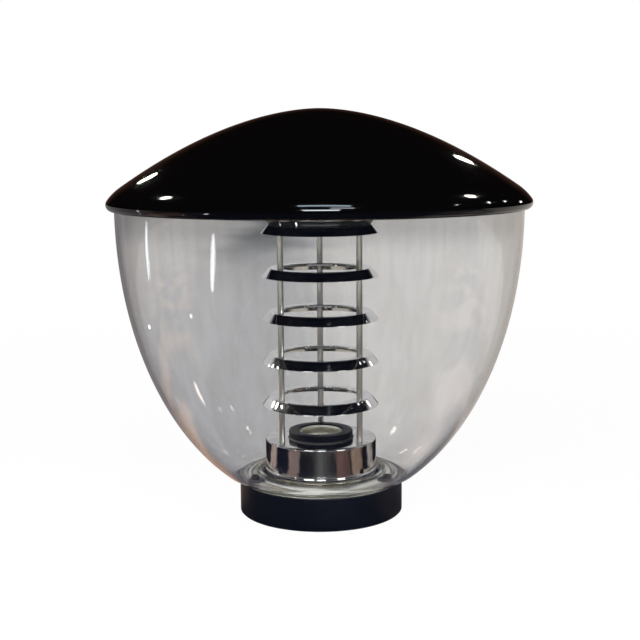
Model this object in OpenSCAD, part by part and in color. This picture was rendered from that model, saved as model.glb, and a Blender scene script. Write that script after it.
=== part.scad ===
// Post-top light head: black dome over a clear bowl, with a louvre stack round the lamp.
// The origin is the middle of the collar's lower face. The front looks along -Y.

/* [Canopy] */
// Overall diameter of the canopy at its rolled rim
canopy_d = 420; // [400:5:440]
// Rise of the dome from the rim's widest line to the peak
canopy_rise = 92; // [80:1:105]
// How full the dome is: 1 is a cone, 2 is a paraboloid
canopy_fullness = 1.8; // [1.6:0.05:2.2]
// Outer radius of the rolled rim
rim_roll_r = 6.2; // [5:0.1:8]
// Wall of the spun dome
canopy_wall = 2.2; // [1.5:0.1:3]

/* [Bowl] */
// Height of the bowl's mouth above the collar
bowl_h = 283; // [260:1:300]
// Wall of the clear bowl
bowl_wall = 3; // [2.5:0.25:4]
// Wall of the bead round the bowl's mouth
mouth_bead_w = 5; // [4.5:0.25:6]
// Height of the bead round the bowl's mouth
mouth_bead_h = 6; // [5:0.5:9]
// Free gap between the canopy's lip and the bowl
lip_gap = 0.8; // [0.5:0.1:1.5]
// How full the bowl's side is: 2 is an ellipse
bowl_fullness = 2.07; // [1.95:0.01:2.2]
// Thickness of the flange that lies on the collar
flange_t = 5; // [4:0.5:7]
// Height of the moulded neck lip above the flange
neck_lip_h = 5; // [3:0.5:7]
// Width of the moulded neck lip
neck_lip_w = 4; // [3:0.5:6]

/* [Collar] */
// Width of the collar's rim outside the circle of the clip screws
collar_margin = 7; // [6:0.5:10]
// Height of the collar
collar_h = 33; // [30:1:40]
// Wall of the collar's skirt
collar_wall = 4; // [3:0.5:6]
// Thickness of the collar's deck
deck_t = 5; // [4:0.5:7]
// Radius of the hole in the deck under the lamp holder
deck_hole_r = 34; // [33:0.5:36]
// Pitch circle of the three bolts that hold the head on the pole
pole_circle_d = 132; // [126:1:136]
// Radius of the tapped holes for the pole bolts
pole_hole_r = 3.4; // [3:0.1:4.2]
// Depth of the tapped holes for the pole bolts
pole_hole_depth = 22; // [16:1:24]
// Thickness of the gasket between bowl and collar
bowl_gasket_t = 1.5; // [1:0.25:2.5]

/* [Mirror cup] */
// Outer diameter of the mirror cup
cup_d = 112.8; // [110:0.2:116]
// Height of the mirror cup above the deck
cup_h = 41.7; // [38:0.1:44]
// Wall of the spun cup
cup_wall = 1.5; // [1:0.1:2]
// Free gap between the cup and the bowl's neck
neck_gap = 5.6; // [4:0.2:8]

/* [Louvre stack] */
// Height from one ring to the next
louvre_pitch = 43.5; // [40:0.5:44]
// Height of the lowest ring's edge above the cup's lip
first_gap_h = 34.6; // [30:0.1:36]
// Height of one ring
louvre_h = 9; // [8:0.5:11]
// How far a ring's wide edge reaches outside its flat lip
skirt_run = 7.6; // [5:0.2:10]
// Width of a ring's flat lip outside the rods' circle
lip_out = 6.5; // [5:0.1:8]
// Width of a ring's flat lip inside the rods' circle
lip_in = 5.3; // [4.2:0.1:6]
// Sheet of the spun rings
louvre_t = 1.2; // [0.8:0.1:1.6]
// Depth of the hem turned down round a ring's opening
hem_h = 3; // [2.4:0.2:4]
// Distance of the tie rods' centres inside the mirror cup's wall
rod_inset = 11.4; // [8:0.2:12]
// Diameter of a tie rod
rod_d = 4; // [3.6:0.2:4.4]
// Outer diameter of the bright tubes over the rods
spacer_d = 6; // [5.4:0.2:7]

/* [Lamp holder] */
// Outer diameter of the lamp holder's shell and top ring
holder_d = 65.2; // [62:0.2:66]
// Height of the lamp holder above its bracket
holder_h = 58.4; // [56:0.2:60]
// Inner diameter of the screw shell's plain mouth
shell_mouth_d = 40; // [39.8:0.1:40.2]
// Depth of the rolled screw thread
thread_depth = 1.3; // [0.8:0.1:1.5]
// Pitch of the rolled screw thread
thread_pitch = 6.35; // [6:0.05:6.6]
// Travel of the sprung centre contact
contact_travel = 2; // [1:0.5:2.5]

/* [Hidden] */

$fn = 96;
eps = 0.01;
// Clearance of a shank or rod in its hole, on the radius
shank_gap = 0.05;
// Clearance of a sheet hole round a rod, on the radius
sheet_gap = 0.3;
// Clearance of a clip screw in the clip and the bowl, on the radius
pass_gap = 0.1;

// Angles of the rods and bowl clips, and of the pole bolts between them
rod_angles = [-30, 90, 210];
bolt_angles = [30, 150, 270];

// From the cup outwards: bowl's neck, gasket groove, clips and the collar's rim
cup_r = cup_d / 2;
neck_r = cup_r + neck_gap;
groove_r = neck_r + 3;
clip_stop_l = 8;
clip_stop_w = 10;
clip_r = neck_r + neck_lip_w + 2 + clip_stop_l;
collar_r = clip_r + collar_margin;

// Collar
edge_bevel = 1;
skirt_fillet = 3;
clip_boss_r = 5.5;
clip_boss_h = 12;
clip_hole_depth = 10;
deck_top = collar_h;
deck_low = collar_h - deck_t;
groove_w = 6;
bolt_boss_r = 9;
bolt_web_t = 4;

// Bowl: the mouth is carried over the collar by the ellipse-like side
mouth_z = collar_h + bowl_h;
rim_z = mouth_z - 2;
roll_mid = [canopy_d / 2 - rim_roll_r, rim_z];
roll_start = -100;
roll_end = 52;
roll_step = 8;
bowl_r = roll_mid.x + rim_roll_r * cos(roll_start) - lip_gap;
mouth_straight = 6;
side_top = mouth_z - mouth_straight;
foot_r = collar_r - 0.5;
foot_rise = 9;
foot_z = deck_top + foot_rise;
foot_flare = 15.7;
side_depth = (side_top - foot_z)
  / pow(1 - pow((foot_r + foot_flare) / bowl_r, bowl_fullness), 1 / bowl_fullness);
flange_top = deck_top + flange_t;
side_steps = 36;
// Moulded rings round the foot: where each starts on the way from flange to side, width and rise
foot_rings = [0.17, 0.43, 0.69];
foot_ring_w = 0.2;
foot_ring_h = 0.9;
// Clips: a round pad over the screw and a square stop that ends just short of the neck lip
clip_pad_r = 6.5;
clip_t = 2.5;
clip_shank_r = 1.75;
clip_head_r = 4;
clip_head_h = 4;
clip_grip = 8;

// Canopy
canopy_r = canopy_d / 2;
gasket_t = 2.5;
gasket_inset = 0.5;
gasket_top = mouth_z + gasket_t;
peak_z = rim_z + canopy_rise;
dome_steps = 30;
spring_t = 0.8;
spring_h = 14;
spring_span = 7;
spring_gap = 0.3;
spring_tab = 3;
rib_in = bowl_r - mouth_bead_w - spring_gap;
rivet_r = 1.5;
rivet_head_r = 2.6;
rivet_head_h = 1;
rivet_l = 4.5;
rivet_z = gasket_top + 3.5;

// Mirror cup and stack
cup_top = deck_top + cup_h;
bead_rise = 11;
rod_circle = cup_r - rod_inset;
rod_r = rod_d / 2;
spacer_r = spacer_d / 2;
pillar_r = spacer_r + 1.5;
lip_r = rod_circle + lip_out;
lip_bore_r = rod_circle - lip_in;
louvre_r = lip_r + skirt_run;
ring_count = 5;
stack_top = cup_top + first_gap_h + (ring_count - 1) * louvre_pitch + louvre_h;
washer_t = 0.8;
washer_r = 4;
nut_hex_h = 3.2;
nut_r = 3.9;
nut_dome_r = 3.2;
nut_dome_h = 5;
flare_lip_top = stack_top + louvre_t;
rod_top = flare_lip_top + washer_t + nut_hex_h + 2;

// Lamp holder
bracket_t = 2;
bracket_w = 18;
bracket_drop = 6;
bracket_low = deck_low - bracket_drop;
leg_x = 31;
ear_end = 44;
ear_r = 39;
holder_low = bracket_low + bracket_t;
holder_screw_x = 12;
m4_r = 2;
m4_head_r = 3.5;
m4_head_h = 2.5;
holder_grip = 8;
holder_top = holder_low + holder_h;
holder_r = holder_d / 2;
base_r = 27;
base_h = 16;
base_top = holder_low + base_h;
flange_r = 31;
sleeve_r = 27.6;
seat_h = 4;
ring_h = 6.4;
ring_low = holder_top - ring_h;
shell_wall = 0.5;
shell_r = shell_mouth_d / 2 + shell_wall;
mouth_rim_r = shell_r + 0.7;
fit_gap = 0.1;
sleeve_floor = 2;
sleeve_sink = 1;
shell_low = base_top + sleeve_floor;
shell_top = holder_top - 3;
thread_top = shell_top - 5.5;
stem_r = 2.5;
head_r = 5;
head_h = 3;
head_low = shell_low + shell_wall + contact_travel - 0.5;
well_rise = 9;
spring_seat = holder_low + well_rise;
well_r = 6;
spring_wire = 0.8;
spring_coil_r = 4;
spring_turns = 4;

// Wiring under the deck
block_w = 16;
block_inset = 22;
block_x = collar_r - collar_wall - block_inset;
block_l = 44;
block_h = 14;
pole_pitch = 14;
pole_screw_x = 4;
pole_screw_r = 1.2;
pole_screw_l = 2.7;
pole_screw_head_r = 2.1;
pole_screw_pit = 2.6;
lead_r = 1.25;
lead_hole_r = 1.5;
lead_hole_depth = 10;
base_lead_y = 12;
base_lead_z = holder_low + 3;
block_lead_drop = 7;
block_lead_z = deck_low - block_lead_drop;
block_lead_depth = 6;
earth_r = 2.5;
earth_boss_r = 6;
earth_boss_h = 6;
clamp_angle = 240;
clamp_inset = 27;
clamp_r = collar_r - collar_wall - clamp_inset;
clamp_screw_y = 12;
cable_r = 5;
small_hole_depth = 3;
small_grip = 2.5;
small_head_r = 2.6;
small_head_h = 1.8;
strap_t = 3;
// Route of the live lead from inside the terminal block to inside the holder's base, as shares
// of the way back in x, y and z; the neutral mirrors it in y
lead_shares = [
  [1, 1, 1], [0.886, 1, 1], [0.771, 1, 0.967], [0.657, 0.9, 0.767], [0.543, 0.7, 0.467],
  [0.429, 0.4, 0.2], [0.314, 0.1, 0.033], [0.2, 0, 0], [0.086, 0, 0], [0, 0, 0]
];
lead_tuck = 5;
lead_start = [block_x - block_w / 2 + lead_tuck, pole_pitch, block_lead_z];
lead_end = [base_r - lead_hole_depth + 2, base_lead_y, base_lead_z];
lead_route = [
  for (t = lead_shares)
    [for (k = [0:2]) lead_end[k] + t[k] * (lead_start[k] - lead_end[k])]
];

// Radius of the bowl's outside at height z
function bowl_side(z) =
  bowl_r * pow(1 - pow((side_top - z) / side_depth, bowl_fullness), 1 / bowl_fullness);

// Height of the dome at radius r, above the peak's level less the drop
function dome_z(r) =
  peak_z - (canopy_rise - rim_roll_r) * pow(r / canopy_r, canopy_fullness);

// A line of points moved sideways by t, to the left of its direction
function side_shift(line, t) = [
  for (i = [0:len(line) - 1])
    let (step = line[min(i + 1, len(line) - 1)] - line[max(i - 1, 0)])
      line[i] + t * [-step.y, step.x] / norm(step)
];

function reversed(line) = [for (i = [len(line) - 1:-1:0]) line[i]];

// Outside of the bowl from its foot to the start of the mouth
bowl_line = [
  [foot_r, deck_top],
  for (i = [0:side_steps])
    let (z = foot_z + (side_top - foot_z) * (1 - pow(1 - i / side_steps, 1.3)))
      [bowl_side(z), z]
];

// The rings moulded on the cone between the flange's edge and the side
foot_run = bowl_line[1] - bowl_line[0];
foot_out = [foot_run.y, -foot_run.x] / norm(foot_run);
foot_line = [
  for (start = foot_rings, p = [[0, 0], [0.3, 1], [0.7, 1], [1, 0]])
    bowl_line[0] + (start + p[0] * foot_ring_w) * foot_run + p[1] * foot_ring_h * foot_out
];

// Outside of the canopy, from the lip round the rolled rim to the peak
dome_start = roll_mid.x + rim_roll_r * cos(roll_end);
canopy_line = [
  for (a = [roll_start:roll_step:roll_end]) roll_mid + rim_roll_r * [cos(a), sin(a)],
  for (i = [1:dome_steps])
    let (r = dome_start * (1 - i / dome_steps))
      [r, dome_z(r)]
];

// A round piece turned from a closed outline of [radius, height] points
module turned(outline) {
  rotate_extrude($fn = 180)
    polygon(outline);
}

// A flat ring or tube standing on z
module ring(outer, inner, z, h) {
  translate([0, 0, z])
    difference() {
      cylinder(r = outer, h = h);
      translate([0, 0, -1])
        cylinder(r = inner, h = h + 2);
    }
}

// Children repeated on a circle at the given angles
module around(angles, r) {
  for (a = angles)
    rotate([0, 0, a])
      translate([r, 0, 0])
        children();
}

// A cap screw with a hexagon socket: the head stands on z, the shank goes down
module cap_screw(z, head_r, head_h, shank_r, shank_l) {
  difference() {
    union() {
      translate([0, 0, z])
        cylinder(r = head_r, h = head_h);
      translate([0, 0, z - shank_l])
        cylinder(r = shank_r, h = shank_l + eps);
    }
    translate([0, 0, z + head_h * 0.4])
      cylinder(r = head_r * 0.5, h = head_h, $fn = 6);
  }
}

// The cast collar: skirt, deck, pole bolt bosses and clip bosses
module collar() {
  skirt = [
    [collar_r - collar_wall, 0],
    [collar_r - edge_bevel, 0],
    [collar_r, edge_bevel],
    [collar_r, collar_h - edge_bevel],
    [collar_r - edge_bevel, collar_h],
    [deck_hole_r, collar_h],
    [deck_hole_r, deck_low],
    [collar_r - collar_wall - skirt_fillet, deck_low],
    [collar_r - collar_wall, deck_low - skirt_fillet]
  ];
  color([0.03, 0.03, 0.035])
    difference() {
      union() {
        turned(skirt);
        around(bolt_angles, pole_circle_d / 2) {
          cylinder(r = bolt_boss_r, h = deck_low + eps);
          translate([0, -bolt_web_t / 2, 0])
            cube([collar_r - collar_wall + 1 - pole_circle_d / 2, bolt_web_t, deck_low + eps]);
        }
        around(rod_angles, clip_r)
          translate([0, 0, deck_low - clip_boss_h])
            cylinder(r = clip_boss_r, h = clip_boss_h + eps);
        translate([-block_x, 0, deck_low - earth_boss_h])
          cylinder(r = earth_boss_r, h = earth_boss_h + eps);
      }
      ring(groove_r + groove_w, groove_r, deck_top - bowl_gasket_t, bowl_gasket_t + 1);
      around(bolt_angles, pole_circle_d / 2)
        translate([0, 0, -1])
          cylinder(r = pole_hole_r, h = pole_hole_depth + 1);
      around(rod_angles, clip_r)
        translate([0, 0, deck_low - clip_hole_depth])
          cylinder(r = clip_shank_r + shank_gap, h = clip_hole_depth + deck_t + 1);
      around(rod_angles, rod_circle)
        translate([0, 0, deck_low - 1])
          cylinder(r = rod_r + shank_gap, h = deck_t + 2);
      around([0, 180], ear_r)
        translate([0, 0, deck_low - 1])
          cylinder(r = m4_r + shank_gap, h = deck_t + 2);
      around([180], block_x)
        translate([0, 0, deck_low - earth_boss_h - 1])
          cylinder(r = earth_r + shank_gap, h = earth_boss_h + small_hole_depth + 1);
      for (y = [-pole_pitch / 2, pole_pitch / 2])
        translate([block_x, y, deck_low - 1])
          cylinder(r = rivet_r + shank_gap, h = small_hole_depth + 1);
      rotate([0, 0, clamp_angle])
        for (y = [-clamp_screw_y, clamp_screw_y])
          translate([clamp_r, y, deck_low - 1])
            cylinder(r = rivet_r + shank_gap, h = small_hole_depth + 1);
    }
}

module bowl_gasket() {
  color([0.12, 0.12, 0.12])
    ring(groove_r + groove_w, groove_r, deck_top - bowl_gasket_t, bowl_gasket_t);
}

// The clear bowl: flange and neck lip below, thin side, thick bead at the mouth
module bowl() {
  inner_side = side_shift(bowl_line, bowl_wall);
  floor_r = inner_side[1].x - (inner_side[1].y - flange_top) * (inner_side[1].x - inner_side[0].x)
    / (inner_side[1].y - inner_side[0].y);
  bead_low = mouth_z - mouth_bead_h;
  bead_blend = 1.5;
  inner_wall = [for (p = inner_side) if (p.y > flange_top && p.y < bead_low - bead_blend - 1) p];
  outline = concat(
    [[neck_r, deck_top], bowl_line[0]],
    foot_line,
    [for (i = [1:side_steps + 1]) bowl_line[i]],
    [
      [bowl_r, mouth_z],
      [bowl_r - mouth_bead_w, mouth_z],
      [bowl_r - mouth_bead_w, bead_low],
      [bowl_r - bowl_wall, bead_low - bead_blend]
    ],
    reversed(inner_wall),
    [
      [floor_r, flange_top],
      [neck_r + neck_lip_w + 1, flange_top],
      [neck_r + neck_lip_w, flange_top + 1],
      [neck_r + neck_lip_w, flange_top + neck_lip_h - 1],
      [neck_r + neck_lip_w - 1, flange_top + neck_lip_h],
      [neck_r + 1, flange_top + neck_lip_h],
      [neck_r, flange_top + neck_lip_h - 1]
    ]
  );
  color([0.9, 0.93, 0.95, 0.3])
    difference() {
      turned(outline);
      around(rod_angles, clip_r)
        translate([0, 0, deck_top - 1])
          cylinder(r = clip_shank_r + pass_gap, h = flange_t + 2);
    }
}

// Pressed clips that hold the bowl's flange down, each with a square stop towards the neck lip
module bowl_clips() {
  color([0.08, 0.08, 0.09])
    around(rod_angles, clip_r)
      difference() {
        union() {
          translate([0, 0, flange_top])
            cylinder(r = clip_pad_r, h = clip_t);
          translate([-clip_stop_l, -clip_stop_w / 2, flange_top])
            cube([clip_stop_l + 2, clip_stop_w, clip_t]);
        }
        translate([0, 0, flange_top - 1])
          cylinder(r = clip_shank_r + pass_gap, h = clip_t + 2);
      }
}

module clip_screws() {
  color([0.15, 0.15, 0.16])
    around(rod_angles, clip_r)
      cap_screw(flange_top + clip_t, clip_head_r, clip_head_h, clip_shank_r,
        clip_t + flange_t + deck_t + clip_grip);
}

// The spun cup: flat lip with the holder's opening, bead and turned-in foot
module mirror_cup() {
  bead_z = deck_top + bead_rise;
  bead_r = 1.4;
  bead_sink = 0.3;
  foot_w = 5;
  corner_r = 2;
  outside = [
    [cup_r - foot_w, deck_top],
    [cup_r, deck_top],
    [cup_r, bead_z - bead_r],
    for (a = [-60:30:60]) [cup_r - bead_sink + bead_r * cos(a), bead_z + bead_r * sin(a)],
    [cup_r, bead_z + bead_r],
    for (a = [0:30:90]) [cup_r, cup_top] - corner_r * [1 - cos(a), 1 - sin(a)],
    [holder_r + 1, cup_top]
  ];
  inside = [
    [holder_r + 1, cup_top - cup_wall],
    [cup_r - cup_wall, cup_top - cup_wall],
    [cup_r - cup_wall, deck_top + cup_wall],
    [cup_r - foot_w, deck_top + cup_wall]
  ];
  color([0.85, 0.86, 0.88])
    difference() {
      turned(concat(outside, inside));
      around(rod_angles, rod_circle)
        translate([0, 0, cup_top - cup_wall - 1])
          cylinder(r = rod_r + sheet_gap, h = cup_wall + 2);
    }
}

module cup_pillars() {
  color([0.7, 0.71, 0.73])
    around(rod_angles, rod_circle)
      ring(pillar_r, rod_r + shank_gap, deck_top, cup_h - cup_wall);
}

module tie_rods() {
  rod_low = deck_low - nut_hex_h - 2;
  color([0.75, 0.75, 0.77])
    around(rod_angles, rod_circle)
      translate([0, 0, rod_low])
        cylinder(r = rod_r, h = rod_top - rod_low);
}

module rod_lock_nuts() {
  color([0.7, 0.7, 0.72])
    around(rod_angles, rod_circle)
      difference() {
        translate([0, 0, deck_low - nut_hex_h])
          cylinder(r = nut_r, h = nut_hex_h, $fn = 6);
        translate([0, 0, deck_low - nut_hex_h - 1])
          cylinder(r = rod_r + shank_gap, h = nut_hex_h + 2);
      }
}

// Lower edge of ring n, counted from the top as 1 to 5
function louvre_low(n) = cup_top + first_gap_h + (ring_count - n) * louvre_pitch;

// Three bright tubes that carry ring n
module spacers(n) {
  low = n == ring_count ? cup_top : louvre_low(n + 1) + louvre_h;
  color([0.8, 0.8, 0.82])
    around(rod_angles, rod_circle)
      ring(spacer_r, rod_r + shank_gap, low, louvre_low(n) + louvre_h - louvre_t - low);
}

// One spun mirror ring: cone skirt, flat lip and a hem round the opening
module louvre_ring() {
  slant_t = louvre_t + 0.3;
  color([0.82, 0.84, 0.86])
    difference() {
      turned([
        [louvre_r - slant_t, 0],
        [louvre_r, 0],
        [lip_r, louvre_h],
        [lip_bore_r, louvre_h],
        [lip_bore_r, louvre_h - hem_h],
        [lip_bore_r + louvre_t, louvre_h - hem_h],
        [lip_bore_r + louvre_t, louvre_h - louvre_t],
        [lip_r + skirt_run * louvre_t / louvre_h - slant_t, louvre_h - louvre_t]
      ]);
      around(rod_angles, rod_circle)
        translate([0, 0, louvre_h - louvre_t - 1])
          cylinder(r = rod_r + sheet_gap, h = louvre_t + 2);
    }
}

module louvre(n) {
  translate([0, 0, louvre_low(n)])
    louvre_ring();
}

// The same ring upside down on top of the stack
module top_flare() {
  translate([0, 0, stack_top + louvre_h])
    mirror([0, 0, 1])
      louvre_ring();
}

module rod_washers() {
  color([0.7, 0.7, 0.72])
    around(rod_angles, rod_circle)
      ring(washer_r, rod_r + shank_gap, flare_lip_top, washer_t);
}

module rod_dome_nuts() {
  low = flare_lip_top + washer_t;
  color([0.78, 0.78, 0.8])
    around(rod_angles, rod_circle)
      difference() {
        union() {
          translate([0, 0, low])
            cylinder(r = nut_r, h = nut_hex_h, $fn = 6);
          translate([0, 0, low + nut_hex_h])
            rotate_extrude()
              polygon([
                [0, -eps],
                [nut_dome_r, -eps],
                for (a = [0:15:90]) [nut_dome_r * cos(a), nut_dome_h * sin(a)]
              ]);
        }
        translate([0, 0, low - 1])
          cylinder(r = rod_r + shank_gap, h = rod_top - low + 1.5);
      }
}

// Cradle of bent strip that hangs the lamp holder in the deck's hole
module holder_bracket() {
  outline = [
    [-ear_end, deck_top],
    [-leg_x, deck_top],
    [-leg_x, bracket_low],
    [leg_x, bracket_low],
    [leg_x, deck_top],
    [ear_end, deck_top],
    [ear_end, deck_top + bracket_t],
    [leg_x - bracket_t, deck_top + bracket_t],
    [leg_x - bracket_t, holder_low],
    [-leg_x + bracket_t, holder_low],
    [-leg_x + bracket_t, deck_top + bracket_t],
    [-ear_end, deck_top + bracket_t]
  ];
  color([0.6, 0.61, 0.63])
    difference() {
      translate([0, bracket_w / 2, 0])
        rotate([90, 0, 0])
          linear_extrude(bracket_w)
            polygon(outline);
      around([0, 180], ear_r)
        translate([0, 0, deck_top - 1])
          cylinder(r = m4_r + sheet_gap, h = bracket_t + 2);
      around([0, 180], holder_screw_x)
        translate([0, 0, bracket_low - 1])
          cylinder(r = m4_r + sheet_gap, h = bracket_t + 2);
      translate([0, 0, bracket_low - 1])
        cylinder(r = stem_r + 1.5, h = bracket_t + 2);
    }
}

module bracket_screws() {
  color([0.65, 0.65, 0.67])
    around([0, 180], ear_r)
      cap_screw(deck_top + bracket_t, m4_head_r, m4_head_h, m4_r, bracket_t + deck_t);
}

// Children turned over so that a screw's head hangs below z
module from_below(z) {
  translate([0, 0, z])
    mirror([0, 0, 1])
      children();
}

module holder_screws() {
  color([0.65, 0.65, 0.67])
    around([0, 180], holder_screw_x)
      from_below(bracket_low)
        cap_screw(0, m4_head_r, m4_head_h, m4_r, bracket_t + holder_grip);
}

// Glazed base: screw holes below, a well for the contact's spring, two lead holes
module holder_base() {
  color([0.86, 0.84, 0.78])
    difference() {
      translate([0, 0, holder_low])
        cylinder(r = base_r, h = base_h);
      translate([0, 0, holder_low - 1])
        cylinder(r = stem_r + shank_gap, h = base_h);
      translate([0, 0, spring_seat])
        cylinder(r = well_r, h = base_h);
      around([0, 180], holder_screw_x)
        translate([0, 0, holder_low - 1])
          cylinder(r = m4_r + shank_gap, h = holder_grip + 2);
      for (y = [-base_lead_y, base_lead_y])
        translate([base_r - lead_hole_depth, y, base_lead_z])
          rotate([0, 90, 0])
            cylinder(r = lead_hole_r, h = base_r);
    }
}

// Cream ceramic sleeve: seat flange, body and the mouth that shows inside the black ring
module holder_sleeve() {
  rim_z = holder_top - sleeve_sink;
  rim_bevel = 0.3;
  color([0.93, 0.91, 0.85])
    turned([
      [well_r, base_top],
      [flange_r, base_top],
      [flange_r, base_top + seat_h],
      [sleeve_r, base_top + seat_h],
      [sleeve_r, ring_low],
      [mouth_rim_r, ring_low],
      [mouth_rim_r, rim_z - rim_bevel],
      [mouth_rim_r - rim_bevel, rim_z],
      [shell_r + fit_gap + rim_bevel, rim_z],
      [shell_r + fit_gap, rim_z - rim_bevel],
      [shell_r + fit_gap, shell_low],
      [well_r, shell_low]
    ]);
}

// Grey-black shell with the rolled ridges of a shade-ring thread
module holder_shell() {
  ridge_pitch = 3.6;
  ridge_count = 8;
  ridge_low = ring_low - ridge_pitch * ridge_count;
  ridge_depth = 1.1;
  root_r = holder_r - ridge_depth;
  color([0.1, 0.1, 0.1])
    turned(concat(
      [
        [sleeve_r + fit_gap, base_top + seat_h],
        [root_r, base_top + seat_h]
      ],
      [
        for (i = [0:ridge_count - 1], p = [[0, 0], [1, 0.25], [1, 0.55], [0, 0.8]])
          [root_r + p[0] * ridge_depth, ridge_low + (i + p[1]) * ridge_pitch]
      ],
      [
        [root_r, ring_low],
        [sleeve_r + fit_gap, ring_low]
      ]
    ));
}

module holder_ring() {
  bevel = 1.2;
  color([0.04, 0.04, 0.045])
    turned([
      [mouth_rim_r + fit_gap, ring_low],
      [holder_r, ring_low],
      [holder_r, holder_top - bevel],
      for (a = [0:30:90]) [holder_r - bevel * (1 - cos(a)), holder_top - bevel * (1 - sin(a))],
      [mouth_rim_r + fit_gap + bevel, holder_top],
      [mouth_rim_r + fit_gap, holder_top - bevel]
    ]);
}

// Plated screw shell: plain mouth, rolled thread, turned-in bottom
module screw_shell() {
  plain_r = shell_mouth_d / 2;
  thread_h = thread_top - shell_low - 2;
  steps = 40;
  inside = [
    for (i = [0:steps])
      let (z = thread_top - thread_h * i / steps)
        [plain_r - thread_depth * (0.5 - 0.5 * cos(360 * (thread_top - z) / thread_pitch)), z]
  ];
  outside = [for (p = inside) [p.x + shell_wall, p.y]];
  color([0.8, 0.76, 0.6])
    turned(concat(
      [[plain_r, shell_top]],
      inside,
      [
        [plain_r - thread_depth, shell_low + shell_wall],
        [well_r + 2, shell_low + shell_wall],
        [well_r + 2, shell_low],
        [plain_r - thread_depth + shell_wall, shell_low]
      ],
      reversed(outside),
      [[plain_r + shell_wall, shell_top]]
    ));
}

module centre_contact() {
  stem_low = holder_low + contact_travel + 2;
  color([0.75, 0.6, 0.3]) {
    translate([0, 0, head_low])
      cylinder(r = head_r, h = head_h);
    translate([0, 0, stem_low])
      cylinder(r = stem_r, h = head_low - stem_low + eps);
  }
}

// Tube of the given radius swept along a line of points, with its ends cut square
module swept(line, radius, sides) {
  n = len(line);
  points = [
    for (i = [0:n - 1])
      let (
        step = line[min(i + 1, n - 1)] - line[max(i - 1, 0)],
        along = step / norm(step),
        across = cross([0, 0, 1], along) / norm(cross([0, 0, 1], along)),
        over = cross(along, across)
      )
        for (k = [0:sides - 1])
          line[i] + radius * (cos(360 * k / sides) * across + sin(360 * k / sides) * over)
  ];
  walls = [
    for (i = [0:n - 2], k = [0:sides - 1])
      let (a = i * sides + k, b = i * sides + (k + 1) % sides)
        each [[a, a + sides, b], [b, a + sides, b + sides]]
  ];
  low_end = [for (k = [1:sides - 2]) [0, k, k + 1]];
  high_end = [for (k = [1:sides - 2]) [(n - 1) * sides, (n - 1) * sides + k + 1, (n - 1) * sides + k]];
  polyhedron(points = points, faces = concat(walls, low_end, high_end));
}

// Coil spring under the contact's head, in the base's well
module contact_spring() {
  low = spring_seat + spring_wire / 2 + shank_gap;
  high = head_low - spring_wire / 2 - shank_gap;
  per_turn = 14;
  steps = spring_turns * per_turn;
  color([0.7, 0.7, 0.7])
    swept(
      [
        for (i = [0:steps])
          let (a = 360 * i / per_turn)
            [spring_coil_r * cos(a), spring_coil_r * sin(a), low + (high - low) * i / steps]
      ],
      spring_wire / 2, 6
    );
}

// Three-pole ceramic block under the deck
module terminal_block() {
  color([0.9, 0.89, 0.85])
    difference() {
      translate([block_x - block_w / 2, -block_l / 2, deck_low - block_h])
        cube([block_w, block_l, block_h]);
      for (x = [-pole_screw_x, pole_screw_x], y = [-pole_pitch, 0, pole_pitch])
        translate([block_x + x, y, deck_low - block_h - 1]) {
          cylinder(r = pole_screw_head_r + 0.2, h = pole_screw_pit + 1);
          cylinder(r = pole_screw_r + shank_gap, h = pole_screw_pit + pole_screw_l + 1.1);
        }
      for (y = [-pole_pitch, pole_pitch])
        translate([block_x - block_w / 2 - 1, y, block_lead_z])
          rotate([0, 90, 0])
            cylinder(r = lead_hole_r, h = block_lead_depth + 1);
      for (y = [-pole_pitch / 2, pole_pitch / 2])
        translate([block_x, y, deck_low - block_h - 1])
          cylinder(r = rivet_r + shank_gap, h = block_h + 2);
    }
}

module block_screws() {
  color([0.65, 0.65, 0.67])
    for (y = [-pole_pitch / 2, pole_pitch / 2])
      translate([block_x, y, 0])
        from_below(deck_low - block_h)
          cap_screw(0, small_head_r, small_head_h, rivet_r, block_h + small_grip);
}

module terminal_screws() {
  color([0.75, 0.62, 0.35])
    for (x = [-pole_screw_x, pole_screw_x], y = [-pole_pitch, 0, pole_pitch])
      translate([block_x + x, y, 0])
        from_below(deck_low - block_h + pole_screw_pit)
          cap_screw(0, pole_screw_head_r, 1.6, pole_screw_r, pole_screw_l);
}

module live_lead() {
  color([0.35, 0.2, 0.12])
    swept(lead_route, lead_r, 8);
}

module neutral_lead() {
  color([0.15, 0.25, 0.5])
    swept([for (p = lead_route) [p.x, -p.y, p.z]], lead_r, 8);
}

module earth_screw() {
  color([0.75, 0.62, 0.35])
    translate([-block_x, 0, 0])
      from_below(deck_low - earth_boss_h)
        cap_screw(0, 4.6, 3.2, earth_r, earth_boss_h + small_grip);
}

// Saddle for the supply cable, screwed up to the deck
module cable_clamp() {
  strap_w = 10;
  strap_l = 34;
  color([0.12, 0.12, 0.12])
    rotate([0, 0, clamp_angle])
      translate([clamp_r, 0, deck_low])
        difference() {
          union() {
            translate([-strap_w / 2, -strap_l / 2, -strap_t])
              cube([strap_w, strap_l, strap_t]);
            intersection() {
              translate([-strap_w / 2, 0, 0])
                rotate([0, 90, 0])
                  cylinder(r = cable_r + strap_t, h = strap_w);
              translate([-strap_w, -strap_l / 2, -strap_l])
                cube([2 * strap_w, strap_l, strap_l]);
            }
          }
          translate([-strap_w, 0, 0])
            rotate([0, 90, 0])
              cylinder(r = cable_r, h = 2 * strap_w);
          for (y = [-clamp_screw_y, clamp_screw_y])
            translate([0, y, -strap_t - 1])
              cylinder(r = rivet_r + sheet_gap, h = strap_t + 2);
        }
}

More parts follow.
